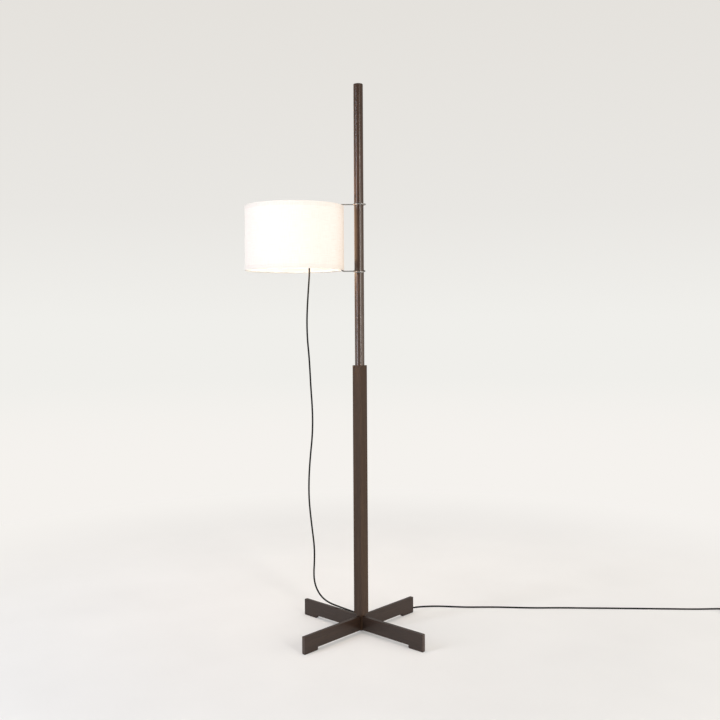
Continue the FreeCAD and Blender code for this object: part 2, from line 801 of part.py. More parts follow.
def hex_nut(label, bore, high, x, z):
    """A hexagon nut with a plain bore."""
    prism = doc.addObject("Part::Prism", f"{label}_hexagon")
    prism.Polygon = HEX_SIDES
    bind(prism, "Circumradius", v.nut_across / 2)
    bind(prism, "Height", high)
    place(prism, x=x, z=z)
    hole = cylinder(f"{label}_bore", bore, high + v.overrun * 2, x=x, z=z - v.overrun)
    keep(less(label, prism, hole), label)


turned("holder_nipple",
       tube_outline(v.nipple_dia, v.nipple_bore, -(v.bracket_thick + v.nut_high + v.nut_high / 2),
                    v.nipple_above),
       x=SHADE_X, z=SEAT_Z)
hex_nut("nipple_nut", v.nipple_dia / 2 + v.fit_gap, v.nut_high, SHADE_X, BRACKET_Z - v.nut_high)


def side_holes(body, height, backward):
    """Two holes through one side of a shell, for the leads."""
    holes = new_sketch(body, "YZ_Plane")
    for side in (-v.lead_offset, v.lead_offset):
        add_circle(holes, side, height, v.lead_dia / 2 + v.fit_gap)
    pocket(body, holes, v.holder_dia, "lead_holes", backward=backward)


def lampholder():
    outer = v.holder_dia / 2
    wall = outer - v.holder_wall
    bore = v.nipple_dia / 2 + v.fit_gap
    cap = turned("holder_cap", [
        (bore, 0), (outer, 0), (outer, v.cap_high), (wall, v.cap_high), (wall, v.holder_floor),
        (bore, v.holder_floor)], x=SHADE_X, z=SEAT_Z)
    side_holes(cap, v.lead_rise, True)
    spigot = wall - v.fit_gap
    foot = v.cap_high - v.skirt_spigot
    turned("holder_skirt", [
        (v.skirt_bore / 2, foot), (spigot, foot), (spigot, v.cap_high), (outer, v.cap_high),
        (outer, v.holder_high), (v.skirt_bore / 2, v.holder_high)], x=SHADE_X, z=SEAT_Z)
    turned("holder_core",
           tube_outline(v.skirt_bore - v.fit_gap * 2, v.core_hole, v.core_low, v.core_top),
           x=SHADE_X, z=SEAT_Z)
    turned("thread_shell",
           tube_outline(v.thread_shell_dia, v.thread_shell_dia - v.thread_shell_wall * 2,
                        v.core_top, v.core_top + v.thread_shell_high),
           x=SHADE_X, z=SEAT_Z)
    turned("centre_contact",
           rod_outline(v.tongue_dia, v.core_top, v.core_top + v.tongue_thick),
           x=SHADE_X, z=SEAT_Z)


lampholder()


# Bulb

TIP_Z = v.core_top + v.tongue_thick
INSULATOR_Z = TIP_Z + v.bulb_tip_high
CAP_LOW = INSULATOR_Z + v.insulator_high / 2
CAP_BORE = v.bulb_cap_dia - v.bulb_cap_wall * 2


def bulb():
    turned("bulb_tip", rod_outline(v.bulb_tip_dia, TIP_Z, INSULATOR_Z), x=SHADE_X, z=SEAT_Z)
    ring = CAP_BORE / 2 - v.fit_gap
    turned("bulb_insulator", [
        (0, INSULATOR_Z), (v.bulb_tip_dia / 2, INSULATOR_Z), (ring, CAP_LOW),
        (ring, INSULATOR_Z + v.insulator_high * 2), (0, INSULATOR_Z + v.insulator_high * 2)],
        x=SHADE_X, z=SEAT_Z)
    cap_top = CAP_LOW + v.bulb_cap_high
    turned("bulb_cap", tube_outline(v.bulb_cap_dia, CAP_BORE, CAP_LOW, cap_top),
           x=SHADE_X, z=SEAT_Z)
    glass_low = cap_top - v.bulb_cap_high / 3
    envelope = []
    for name, shrink in (("outside", 0), ("inside", v.bulb_wall)):
        neck_radius = v.bulb_neck_dia / 2 - shrink
        ball_radius = v.bulb_dia / 2 - shrink
        low = glass_low if name == "outside" else glass_low - v.overrun
        ball = doc.addObject("Part::Sphere", f"bulb_ball_{name}")
        bind(ball, "Radius", ball_radius)
        place(ball, x=SHADE_X, z=SEAT_Z + v.bulb_centre)
        neck = cylinder(f"bulb_neck_{name}", neck_radius, cap_top - low, x=SHADE_X,
                        z=SEAT_Z + low)
        cone = doc.addObject("Part::Cone", f"bulb_cone_{name}")
        bind(cone, "Radius1", neck_radius)
        bind(cone, "Radius2", ball_radius * CONE_OUT_SHARE)
        bind(cone, "Height", v.bulb_centre - ball_radius * CONE_DOWN_SHARE - cap_top)
        place(cone, x=SHADE_X, z=SEAT_Z + cap_top)
        envelope.append(joined(f"bulb_{name}", [ball, neck, cone]))
    keep(less("bulb_glass", *envelope), "bulb_glass")
    flare = v.stem_flare_dia / 2
    turned("bulb_stem", [
        (0, glass_low), (flare, glass_low), (flare, glass_low + v.bulb_wall * 2),
        (v.stem_dia / 2, glass_low + v.stem_dia), (v.stem_dia / 2, glass_low + v.stem_high),
        (0, glass_low + v.stem_high)], x=SHADE_X, z=SEAT_Z)


bulb()


# Cord-pulled switch, heights counted from the top of the bracket


def pull_switch():
    outer = v.switch_dia / 2
    wall = outer - v.switch_wall
    bore = v.sleeve_dia / 2 + v.fit_gap
    body = turned("switch_body", [
        (bore, -v.nose_long), (v.nose_dia / 2, -v.nose_long), (v.nose_dia / 2, 0), (outer, 0),
        (outer, v.switch_high), (wall, v.switch_high), (wall, v.switch_floor),
        (bore, v.switch_floor)], x=SWITCH_X, z=SEAT_Z)
    side_holes(body, v.lead_rise, False)
    turned("switch_lid", [
        (0, v.switch_high - v.switch_lid), (wall - v.fit_gap, v.switch_high - v.switch_lid),
        (wall - v.fit_gap, v.switch_high), (outer, v.switch_high),
        (outer, v.switch_high + v.switch_lid), (0, v.switch_high + v.switch_lid)],
        x=SWITCH_X, z=SEAT_Z)
    hex_nut("switch_nut", v.nose_dia / 2 + v.fit_gap, v.nut_high, SWITCH_X,
            BRACKET_Z - v.nut_high)
    inside = v.cord_dia / 2 + v.cord_gap
    lip_top = -(v.nose_long + v.sleeve_stand)
    turned("pull_sleeve", [
        (inside, lip_top - v.sleeve_lip), (v.sleeve_lip_dia / 2, lip_top - v.sleeve_lip),
        (v.sleeve_lip_dia / 2, lip_top), (v.sleeve_dia / 2, lip_top),
        (v.sleeve_dia / 2, v.flange_low), (v.flange_dia / 2, v.flange_low),
        (v.flange_dia / 2, v.flange_low + v.flange_thick),
        (inside, v.flange_low + v.flange_thick)], x=SWITCH_X, z=SEAT_Z)
    bridge_low = v.flange_low + v.flange_thick
    turned("contact_bridge",
           tube_outline(v.flange_dia, v.sleeve_dia, bridge_low, bridge_low + v.bridge_thick),
           x=SWITCH_X, z=SEAT_Z)
    contact_low = bridge_low + v.bridge_thick + v.contact_gap
    contact_high = v.switch_high - v.switch_lid - contact_low
    studs = [cylinder(f"switch_contact_{name}", v.contact_dia / 2, contact_high,
                      x=SWITCH_X, y=side, z=SEAT_Z + contact_low)
             for name, side in (("front", -v.contact_offset), ("rear", v.contact_offset))]
    pair = doc.addObject("Part::Compound", "switch_contacts")
    pair.Links = studs
    keep(pair, "switch_contacts")


def return_spring():
    """The spring round the pull sleeve, between the switch's floor and the sleeve's flange."""
    wire = float(v.spring_wire)
    radius = (float(v.spring_dia) - wire) / 2
    low = v.switch_floor + v.spring_wire / 2 + v.fit_gap
    high = v.flange_low - v.spring_wire / 2 - v.fit_gap
    rise = float(high - low)
    path = Part.makeHelix(rise / float(v.spring_turns), rise, radius)
    section = Part.Wire(Part.Circle(Vector(radius, 0, 0), Vector(0, 1, 0), wire / 2).toShape())
    shape = Part.Wire(path).makePipeShell([section], True, True)
    keep(free_form("return_spring", shape, x=SWITCH_X, z=SEAT_Z + low), "return_spring")


def switch_leads():
    """The two short insulated leads from the switch to the lampholder."""
    start = v.holder_dia / 2 - v.holder_wall - v.lead_reach
    end = v.switch_offset - v.switch_dia / 2 + v.switch_wall
    leads = [cylinder(f"switch_lead_{name}", v.lead_dia / 2, end - start, x=SHADE_X + start,
                      y=side, z=SEAT_Z + v.lead_rise, turn=(Y_AXIS, QUARTER))
             for name, side in (("front", -v.lead_offset), ("rear", v.lead_offset))]
    pair = doc.addObject("Part::Compound", "switch_leads")
    pair.Links = leads
    keep(pair, "switch_leads")


pull_switch()
return_spring()
switch_leads()


# Cord, coil, tie and plug


def route(points):
    return [Vector(*point) for point in points]


def cord_trim(before, after, half_turn):
    return ARC_SHARE * min(before, after)


def cord_tube(label, points):
    """A stretch of cord along its route; prints its length, radii and volume check."""
    edges, radii = bent_path(points, cord_trim)
    solid, length, ratio = swept(edges, v.cord_dia)
    keep(free_form(label, solid), label)
    print(f"{label}: length {length:.1f}, least radius {min(radii):.1f}, volume share {ratio:.5f}")
    print(f"{label} radii: {' '.join(str(round(r)) for r in radii)}")
    return length


def coil_point(turns):
    """Centre line of the coil after this many turns: spiral in, climb a layer, spiral out."""
    pitch = float(v.coil_pitch)
    middle = SPIRAL_TURNS + CLIMB_TURNS / 2
    from_middle = abs(turns - middle)
    inner = float(v.coil_radius) - pitch * middle
    radius = inner + pitch * from_middle
    share = min(1, max(0, (turns - SPIRAL_TURNS) / CLIMB_TURNS))
    climbed = (1 - math.cos(math.pi * share)) / 2
    angle = math.radians(QUARTER - 360 * turns)
    return Vector(float(v.coil_centre_x) + radius * math.cos(angle),
                  float(v.coil_centre_y) + radius * math.sin(angle),
                  float(COIL_Z + v.coil_climb * climbed))


def coil_way(turns, side):
    """The coil's direction just after (side 1) or just before (side -1) this many turns."""
    step = side * COIL_STEP_SHARE
    return (coil_point(turns + step) - coil_point(turns)).normalize() * side


COIL_Z = v.tie_thick + v.tie_gap + v.cord_dia / 2
COIL_TURNS = 2 * SPIRAL_TURNS + CLIMB_TURNS
COIL_STATIONS = round(4 * COIL_TURNS)


def coil_direction(turns):
    """The coil's direction: the mean of both sides, and level along X at its two ends."""
    if turns == 0 or turns == COIL_TURNS:
        return Vector(1, 0, 0)
    return (coil_way(turns, 1) + coil_way(turns, -1)).normalize()


def coil():
    """The put-away length: one tube wound in two layers, with a straight end at each side."""
    stations = [COIL_TURNS * i / COIL_STATIONS for i in range(COIL_STATIONS + 1)]
    points = [coil_point(t) for t in stations]
    ways = [coil_direction(t) for t in stations]
    lead_in = points[0] - ways[0] * float(v.cord_dia)
    lead_out = points[-1] + ways[-1] * float(v.cord_dia)
    edges = [Part.LineSegment(lead_in, points[0]).toShape()]
    for i in range(COIL_STATIONS):
        edges += biarc(points[i], ways[i], points[i + 1], ways[i + 1])
    edges.append(Part.LineSegment(points[-1], lead_out).toShape())
    solid, length, ratio = swept(edges, v.cord_dia)
    keep(free_form("cord_coil", solid), "cord_coil")
    print(f"cord_coil: length {length:.1f}, volume share {ratio:.5f}, "
          f"least gap to itself {least_gap(edges):.2f}")
    return lead_in, lead_out, length


def least_gap(edges):
    """The least gap between turns of the tube, over points more than a third of a turn apart."""
    points = []
    for edge in edges:
        count = max(3, round(edge.Length / float(v.spring_wire)))
        for point in edge.discretize(count)[:-1]:
            points.append(point)
    apart = round(float(v.coil_radius) * 2 / float(v.spring_wire))
    least = min(a.distanceToPoint(b) for i, a in enumerate(points) for b in points[i + apart:])
    return least - float(v.cord_dia)


lead_in, lead_out, coil_length = coil()
hang = route(HANG_ROUTE)
floor = route(FLOOR_ROUTE)
split = (hang[-1] + floor[0]) / 2
hang_length = cord_tube("cord_hanging", hang + [split])
floor_length = cord_tube("cord_floor", [split] + floor + [lead_in])
print(f"cord in all: {hang_length + floor_length + coil_length:.0f}")


def cord_tie():
    """The strap round all the turns at the side of the coil that faces the viewer."""
    body = new_body("cord_tie")
    outline = new_sketch(body, "YZ_Plane")
    near_turn = v.coil_radius - v.coil_pitch / 2
    far_turn = near_turn - v.coil_pitch
    room = v.cord_dia / 2 + v.tie_gap
    near = -(near_turn + room)
    far = -(far_turn - room)
    low = v.tie_thick
    high = v.tie_thick + room * 2 + v.coil_climb
    add_outline(outline, [(near - v.tie_thick, 0), (far + v.tie_thick, 0),
                          (far + v.tie_thick, high + v.tie_thick),
                          (near - v.tie_thick, high + v.tie_thick)])
    add_outline(outline, [(near, low), (far, low), (far, high), (near, high)])
    pad(body, outline, v.tie_wide, "strap", midplane=True)
    place(body, x=v.coil_centre_x, y=v.coil_centre_y)


cord_tie()


def plug():
    """Bend relief, plug body and its two pins, in line with the coil's outer end."""
    start = v.coil_centre_x + v.cord_dia
    line_y = v.coil_centre_y + v.coil_radius
    line_z = COIL_Z + v.coil_climb
    along_x = (Y_AXIS, QUARTER)
    turned("plug_relief", [
        (0, 0), (v.relief_tip_dia / 2, 0), (v.relief_dia / 2, v.relief_long),
        (0, v.relief_long)], x=start, y=line_y, z=line_z, turn=along_x)
    body = new_body("plug_body")
    outline = new_sketch(body, "XY_Plane")
    neck = v.plug_neck_wide / 2
    wide = v.plug_wide / 2
    add_outline(outline, [
        (0, -neck), (v.plug_long / 2, -wide), (v.plug_long, -wide), (v.plug_long, wide),
        (v.plug_long / 2, wide), (0, neck)])
    block = pad(body, outline, v.plug_high, "block", midplane=True)

    def side_edge(edge):
        middle = edge.CenterOfMass
        flat = edge.BoundBox.ZLength < float(v.fit_gap)
        return flat and abs(middle.x - float(v.plug_long)) > float(v.fit_gap) and middle.x > 0

    round_edges(body, block, side_edge, v.plug_round, "round")
    place(body, x=start + v.relief_long, y=line_y, z=line_z)
    holes = new_sketch(body, "YZ_Plane")
    for side in (-v.pin_spacing / 2, v.pin_spacing / 2):
        add_circle(holes, side, 0, v.pin_dia / 2 + v.fit_gap)
    depth = pocket_from_face(body, holes)
    pins = [cylinder(f"plug_pin_{name}", v.pin_dia / 2, v.pin_long + v.pin_root,
                     x=start + v.relief_long + v.plug_long - v.pin_root, y=line_y + side,
                     z=line_z, turn=along_x)
            for name, side in (("left", v.pin_spacing / 2), ("right", -v.pin_spacing / 2))]
    pair = doc.addObject("Part::Compound", "plug_pins")
    pair.Links = pins
    keep(pair, "plug_pins")
    return depth


def pocket_from_face(body, holes):
    """Cut the pins' blind holes inwards from the plug's front face."""
    offset = FreeCAD.Placement(Vector(0, 0, float(v.plug_long)), FreeCAD.Rotation())
    holes.AttachmentOffset = offset
    holes.setExpression("AttachmentOffset.Base.z", v.plug_long.text)
    return pocket(body, holes, v.pin_root, "pin_holes")


plug()


# Check and write


def check_and_write():
    doc.recompute()
    faulty = [o.Name for o in doc.Objects if {"Invalid", "Error"} & set(o.State)]
    if faulty:
        raise ValueError(f"objects that did not recompute: {faulty}")
    os.makedirs("parts", exist_ok=True)
    for part in parts:
        shape = part.Shape
        if shape.isNull() or not shape.isValid() or shape.Volume <= 0:
            raise ValueError(f"{part.Label} has no valid solid")
        shape.exportStep(f"parts/{part.Label}.step")
    print(f"{len(parts)} sub-parts written")


check_and_write()
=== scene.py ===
"""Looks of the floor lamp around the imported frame: camera, materials, cord, spring, shade and light."""

import math

import bpy
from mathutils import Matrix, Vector


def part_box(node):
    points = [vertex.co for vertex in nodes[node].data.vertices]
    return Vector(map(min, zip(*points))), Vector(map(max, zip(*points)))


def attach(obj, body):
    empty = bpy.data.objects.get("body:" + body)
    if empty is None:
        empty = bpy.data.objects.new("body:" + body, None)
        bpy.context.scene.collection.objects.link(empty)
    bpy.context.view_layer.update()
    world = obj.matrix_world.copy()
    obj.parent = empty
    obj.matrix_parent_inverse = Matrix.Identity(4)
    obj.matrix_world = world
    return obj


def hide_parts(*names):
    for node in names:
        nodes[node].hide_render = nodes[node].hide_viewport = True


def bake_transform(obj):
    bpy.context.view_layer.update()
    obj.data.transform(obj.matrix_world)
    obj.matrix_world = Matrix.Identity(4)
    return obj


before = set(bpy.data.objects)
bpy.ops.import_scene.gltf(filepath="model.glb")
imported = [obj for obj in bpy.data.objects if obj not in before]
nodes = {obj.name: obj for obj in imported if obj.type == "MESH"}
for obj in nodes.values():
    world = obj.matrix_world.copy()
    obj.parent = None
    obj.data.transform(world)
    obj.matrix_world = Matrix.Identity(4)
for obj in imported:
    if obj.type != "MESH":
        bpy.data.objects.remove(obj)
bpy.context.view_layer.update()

# Places read from the frame, in metres

SHADE_LOW, SHADE_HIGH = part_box("shade_drum")
SHADE_X = (SHADE_LOW.x + SHADE_HIGH.x) / 2
SHADE_RADIUS = (SHADE_HIGH.x - SHADE_LOW.x) / 2
BULB_LOW, BULB_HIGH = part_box("bulb_glass")
BULB_CENTRE = Vector((SHADE_X, 0.0, BULB_HIGH.z - (BULB_HIGH.x - BULB_LOW.x) / 2))

# Camera at the photograph's viewing angle

VIEW_WIDTH_PX = 720
FOCAL_PX = 878.3
SENSOR_MM = 36.0
CAMERA_SHIFT_PX = (0.05, -42.3)
CAMERA_PLACE = (0.0015, -2.6616, 0.952)
CAMERA_ROLL = 0.006


def make_camera():
    data = bpy.data.cameras.new("camera")
    data.sensor_width = SENSOR_MM
    data.lens = SENSOR_MM * FOCAL_PX / VIEW_WIDTH_PX
    data.shift_x = CAMERA_SHIFT_PX[0] / VIEW_WIDTH_PX
    data.shift_y = CAMERA_SHIFT_PX[1] / VIEW_WIDTH_PX
    camera = bpy.data.objects.new("camera", data)
    camera.location = CAMERA_PLACE
    camera.rotation_euler = (math.pi / 2, CAMERA_ROLL, 0.0)
    bpy.context.scene.collection.objects.link(camera)
    bpy.context.scene.camera = camera


make_camera()

# Cord: its route through the air and over the floor, in metres

CORD_DIAMETER = 0.005
TUBE_SIDES = 16
LINE_STEPS = 10
LINE_ORDER = 3
SPLIT = (-0.1525, 0.0005, 0.517)
HANG_ROUTE = [
    (-0.151, 0.0, 1.127), (-0.151, 0.0, 1.105), (-0.151, 0.0, 1.083), (-0.1545, 0.001, 1.036),
    (-0.158, 0.002, 0.985), (-0.1595, 0.001, 0.935), (-0.158, 0.0, 0.886),
    (-0.1535, 0.0, 0.838), (-0.1508, 0.0016, 0.788), (-0.1485, 0.002, 0.738),
    (-0.145, 0.002, 0.688), (-0.1435, 0.001, 0.636), (-0.1455, 0.0, 0.588),
    (-0.1505, 0.0, 0.541), SPLIT,
]
FLOOR_ROUTE = [
    SPLIT, (-0.1545, 0.001, 0.493), (-0.1565, 0.002, 0.447), (-0.156, 0.003, 0.399),
    (-0.1515, 0.003, 0.35), (-0.146, 0.003, 0.303), (-0.1408, 0.003, 0.258),
    (-0.1408, 0.004, 0.216), (-0.1435, 0.006, 0.176), (-0.141, 0.014, 0.143),
    (-0.131, 0.0265, 0.1125), (-0.1145, 0.041, 0.0865), (-0.094, 0.06, 0.067),
    (-0.072, 0.0825, 0.051), (-0.05, 0.103, 0.036), (-0.028, 0.126, 0.02),
    (-0.003, 0.1445, 0.0055), (0.027, 0.157, 0.0025), (0.062, 0.167, 0.0025),
    (0.104, 0.181, 0.0025), (0.146, 0.201, 0.0025), (0.178, 0.217, 0.0025),
    (0.216, 0.2245, 0.0025), (0.258, 0.225, 0.0025), (0.301, 0.219, 0.0025),
    (0.346, 0.2135, 0.0025), (0.393, 0.2135, 0.0025), (0.442, 0.2125, 0.0025),
    (0.491, 0.2085, 0.0025), (0.541, 0.2035, 0.0025), (0.591, 0.2015, 0.0025),
    (0.64, 0.202, 0.0025), (0.69, 0.2, 0.0025), (0.741, 0.197, 0.0025),
    (0.792, 0.1955, 0.0025), (0.843, 0.1925, 0.0025), (0.894, 0.1905, 0.0025),
    (0.945, 0.187, 0.0025), (0.996, 0.185, 0.0025), (1.045, 0.182, 0.0025),
    (1.093, 0.1805, 0.0025), (1.139, 0.18, 0.0034),
]
COIL_CENTRE = (1.192, 0.1475)
COIL_INNER = 0.0213
COIL_PITCH = 0.0056
COIL_TURNS = 4
COIL_POINTS_PER_TURN = 20
COIL_START_DEGREES = 90
COIL_LOW = 0.0034
COIL_CLIMB = 0.006
COIL_CLIMB_TURNS = 0.5
CORD_END = (1.197, 0.18, 0.0094)


def coil_point(turns):
    """A point of the put-away coil: spiral in, climb a layer, spiral out."""
    middle = COIL_TURNS / 2
    radius = COIL_INNER + COIL_PITCH * abs(turns - middle)
    climb = (turns - middle + COIL_CLIMB_TURNS / 2) / COIL_CLIMB_TURNS
    climb = min(1.0, max(0.0, climb))
    angle = math.radians(COIL_START_DEGREES - 360 * turns)
    return (
        COIL_CENTRE[0] + radius * math.cos(angle),
        COIL_CENTRE[1] + radius * math.sin(angle),
        COIL_LOW + COIL_CLIMB * (1 - math.cos(math.pi * climb)) / 2,
    )


def coil_points():
    count = COIL_TURNS * COIL_POINTS_PER_TURN
    return [coil_point(COIL_TURNS * i / count) for i in range(count + 1)]


def nurbs_line(points):
    """The smooth line of a NURBS spline with these control points."""
    data = bpy.data.curves.new("line", "CURVE")
    data.dimensions = "3D"
    spline = data.splines.new("NURBS")
    spline.points.add(len(points) - 1)
    for point, place in zip(spline.points, points):
        point.co = (*place, 1.0)
    spline.order_u = LINE_ORDER
    spline.use_endpoint_u = True
    spline.resolution_u = LINE_STEPS
    holder = bpy.data.objects.new("line", data)
    mesh = bpy.data.meshes.new_from_object(holder)
    line = [v.co.copy() for v in mesh.vertices]
    bpy.data.meshes.remove(mesh)
    bpy.data.curves.remove(data)
    return line


def rings(line):
    """At each point of the line, two directions across it that don't twist along it."""
    ways = [(line[min(i + 1, len(line) - 1)] - line[max(i - 1, 0)]).normalized()
            for i in range(len(line))]
    side = ways[0].orthogonal().normalized()
    frames = []
    for way in ways:
        side = (side - way * side.dot(way)).normalized()
        frames.append((side, way.cross(side)))
    return frames


def mesh_piece(name, points, faces, look, smooth=True):
    """A new object of these points and faces, with one material."""
    mesh = bpy.data.meshes.new(name)
    mesh.from_pydata(points, [], faces)
    mesh.update()
    if smooth:
        mesh.polygons.foreach_set("use_smooth", [True] * len(mesh.polygons))
    mesh.materials.append(look)
    piece = bpy.data.objects.new(name, mesh)
    bpy.context.scene.collection.objects.link(piece)
    return piece


def tube(name, line, diameter, look):
    """A closed round tube along a line."""
    points = []
    for middle, (a, b) in zip(line, rings(line)):
        for k in range(TUBE_SIDES):
            angle = 2 * math.pi * k / TUBE_SIDES
            points.append(middle + (a * math.cos(angle) + b * math.sin(angle)) * diameter / 2)
    faces = []
    for i in range(len(line) - 1):
        for k in range(TUBE_SIDES):
            n = (k + 1) % TUBE_SIDES
            low, high = i * TUBE_SIDES, (i + 1) * TUBE_SIDES
            faces.append((low + k, low + n, high + n, high + k))
    last = (len(line) - 1) * TUBE_SIDES
    faces.append(tuple(reversed(range(TUBE_SIDES))))
    faces.append(tuple(range(last, last + TUBE_SIDES)))
    return mesh_piece(name, points, faces, look)


def length_of(line):
    return sum((b - a).length for a, b in zip(line, line[1:]))


# Materials


def tone(red, green, blue):
    """A colour from its display values, 0 to 255, as linear numbers."""
    def linear(value):
        share = value / 255
        return share / 12.92 if share <= 0.04045 else ((share + 0.055) / 1.055) ** 2.4
    return (linear(red), linear(green), linear(blue), 1.0)


class Nodes:
    """A node tree under construction."""

    def __init__(self, tree):
        self.tree = tree

    def add(self, kind, **settings):
        node = self.tree.nodes.new(kind)
        for key, value in settings.items():
            setattr(node, key, value)
        return node

    def set(self, node, socket, value):
        """Set a socket to a number or a colour, or link it to another socket."""
        target = node.inputs[socket]
        if isinstance(value, bpy.types.NodeSocket):
            self.tree.links.new(value, target)
        else:
            target.default_value = value

    def maths(self, operation, *values):
        node = self.add("ShaderNodeMath", operation=operation)
        for i, value in enumerate(values):
            self.set(node, i, value)
        return node.outputs[0]

    def ranged(self, value, low, high, out_low=0.0, out_high=1.0):
        node = self.add("ShaderNodeMapRange", interpolation_type="SMOOTHSTEP")
        for socket, number in (("Value", value), ("From Min", low), ("From Max", high),
                               ("To Min", out_low), ("To Max", out_high)):
            self.set(node, socket, number)
        return node.outputs["Result"]

    def ramp(self, value, stops):
        node = self.add("ShaderNodeValToRGB")
        ramp = node.color_ramp
        while len(ramp.elements) < len(stops):
            ramp.elements.new(0.5)
        for element, (position, colour) in zip(ramp.elements, stops):
            element.position = position
            element.color = colour
        self.set(node, "Fac", value)
        return node.outputs["Color"]

    def split(self, vector):
        """The x, y and z of a vector."""
        node = self.add("ShaderNodeSeparateXYZ")
        self.set(node, 0, vector)
        return node.outputs

    def rays(self):
        """Whether the ray is the camera's, and whether it is that or one sent on by gloss or glass."""
        outputs = self.add("ShaderNodeLightPath").outputs
        camera = outputs["Is Camera Ray"]
        seen = self.maths("MAXIMUM", camera, outputs["Is Glossy Ray"])
        return camera, self.maths("MAXIMUM", seen, outputs["Is Transmission Ray"])


class Look(Nodes):
    """A material under construction: its node tree and its principled shader."""

    def __init__(self, name, roughness=0.5, metallic=0.0):
        self.material = bpy.data.materials.new(name)
        self.material.use_nodes = True
        super().__init__(self.material.node_tree)
        self.shader = self.tree.nodes["Principled BSDF"]
        self.give("Roughness", roughness)
        self.give("Metallic", metallic)
        self.place = self.add("ShaderNodeTexCoord").outputs["Object"]

    def give(self, socket, value):
        """Set or link a socket of the principled shader."""
        self.set(self.shader, socket, value)

    def mapped(self, scale, turn=0.0, source=None):
        node = self.add("ShaderNodeMapping")
        self.set(node, "Vector", source or self.place)
        self.set(node, "Rotation", (0.0, 0.0, -turn))
        scaler = self.add("ShaderNodeVectorMath", operation="MULTIPLY")
        self.set(scaler, 0, node.outputs[0])
        self.set(scaler, 1, scale)
        return scaler.outputs[0]

    def noise(self, vector, detail=3.0, roughness=0.5, scale=1.0, distortion=0.0):
        node = self.add("ShaderNodeTexNoise")
        self.set(node, "Vector", vector)
        self.set(node, "Scale", scale)
        self.set(node, "Detail", detail)
        self.set(node, "Roughness", roughness)
        self.set(node, "Distortion", distortion)
        return node.outputs["Fac"]

    def even_noise(self, scale, detail=2.0, roughness=0.5):
        """Noise of one scale, per metre, in all directions."""
        return self.noise(self.mapped((scale, scale, scale)), detail, roughness)

    def mix(self, share, first, second, kind="MIX"):
        node = self.add("ShaderNodeMix", data_type="RGBA", blend_type=kind)
        self.set(node, 0, share)
        self.set(node, 6, first)
        self.set(node, 7, second)
        return node.outputs[2]

    def bump(self, height, strength, distance):
        node = self.add("ShaderNodeBump")
        self.set(node, "Strength", strength)
        self.set(node, "Distance", distance)
        self.set(node, "Height", height)
        self.give("Normal", node.outputs[0])


# Wood: noise scales are per metre, along the grain and across it

BOARD_TURN = math.radians(47.3)
WOOD_SPECULAR = 0.2
WOOD_SPECULAR_TINT = (1.0, 0.86, 0.8, 1.0)
VARNISH_ROUGHNESS = 0.22
GRAIN_BANDS = (2.4, 70.0)
GRAIN_STREAKS = (9.0, 420.0)
GRAIN_PORES = (38.0, 1900.0)
BAND_SHARE = 0.55
PORE_DEPTH = 0.75
END_DOTS = 900.0
END_DARKER = 0.62
RAW_BUMP = 0.35
BUMP_LOST_TO_VARNISH = 0.41
WOOD_RELIEF = 0.0002


def wood(name, along, turn=0.0, varnish=0.2, dark=(51, 37, 29), light=(79, 60, 49),
         pore=(34, 23, 17), end_grain=(98, 80, 71), roughness=0.5):
    """Dark stained hardwood whose grain runs along X after the turn, or along Z."""
    look = Look(name, roughness)
    look.give("Specular IOR Level", WOOD_SPECULAR)
    look.give("Specular Tint", WOOD_SPECULAR_TINT)
    look.give("Coat Weight", varnish)
    look.give("Coat Roughness", VARNISH_ROUGHNESS)
    run = {"x": 0, "z": 2}[along]

    def stretched(scales):
        lengthwise, across = scales
        scale = [across, across, across]
        scale[run] = lengthwise
        return look.mapped(tuple(scale), turn)

    bands = look.noise(stretched(GRAIN_BANDS), detail=3.0, roughness=0.55, distortion=0.6)
    streaks = look.noise(stretched(GRAIN_STREAKS), detail=4.0, roughness=0.6)
    pores = look.noise(stretched(GRAIN_PORES), detail=2.0, roughness=0.7)
    middle = [(a + b) / 2 for a, b in zip(dark, light)]
    figure = look.maths("ADD", look.maths("MULTIPLY", bands, BAND_SHARE),
                        look.maths("MULTIPLY", streaks, 1 - BAND_SHARE))
    body = look.ramp(figure, [(0.3, tone(*dark)), (0.52, tone(*middle)), (0.72, tone(*light))])
    deep = look.ranged(pores, 0.36, 0.5, PORE_DEPTH, 0.0)
    colour = look.mix(deep, body, tone(*pore))
    normal = look.add("ShaderNodeVectorMath", operation="DOT_PRODUCT")
    geometry = look.add("ShaderNodeTexCoord").outputs["Normal"]
    look.set(normal, 0, geometry)
    axis = (math.cos(turn), math.sin(turn), 0.0) if along == "x" else (0.0, 0.0, 1.0)
    look.set(normal, 1, axis)
    facing = look.ranged(look.maths("ABSOLUTE", normal.outputs["Value"]), 0.8, 0.95)
    dots = look.noise(look.mapped((END_DOTS, END_DOTS, END_DOTS), turn), detail=2.0)
    end_dark = [c * END_DARKER for c in end_grain]
    end = look.ramp(dots, [(0.35, tone(*end_dark)), (0.6, tone(*end_grain))])
    look.give("Base Color", look.mix(facing, colour, end))
    look.give("Roughness", look.ranged(streaks, 0.3, 0.7, roughness - 0.05, roughness + 0.1))
    look.bump(look.maths("SUBTRACT", look.maths("MULTIPLY", streaks, 0.4), deep),
              RAW_BUMP - BUMP_LOST_TO_VARNISH * varnish, WOOD_RELIEF)
    return look.material


def moulded(name, colour, roughness, grain=900.0, depth=0.00006, spread=0.12):
    """Moulded plastic or paint: slight mottling and a fine grained surface."""
    look = Look(name, roughness)
    fine = look.even_noise(grain)
    broad = look.even_noise(45.0)
    low = tone(*[c * (1 - spread) for c in colour])
    look.give("Base Color", look.ramp(broad, [(0.35, low), (0.65, tone(*colour))]))
    look.give("Roughness", look.ranged(fine, 0.3, 0.7, roughness - 0.06, roughness + 0.06))
    look.bump(fine, 0.25, depth)
    return look.material


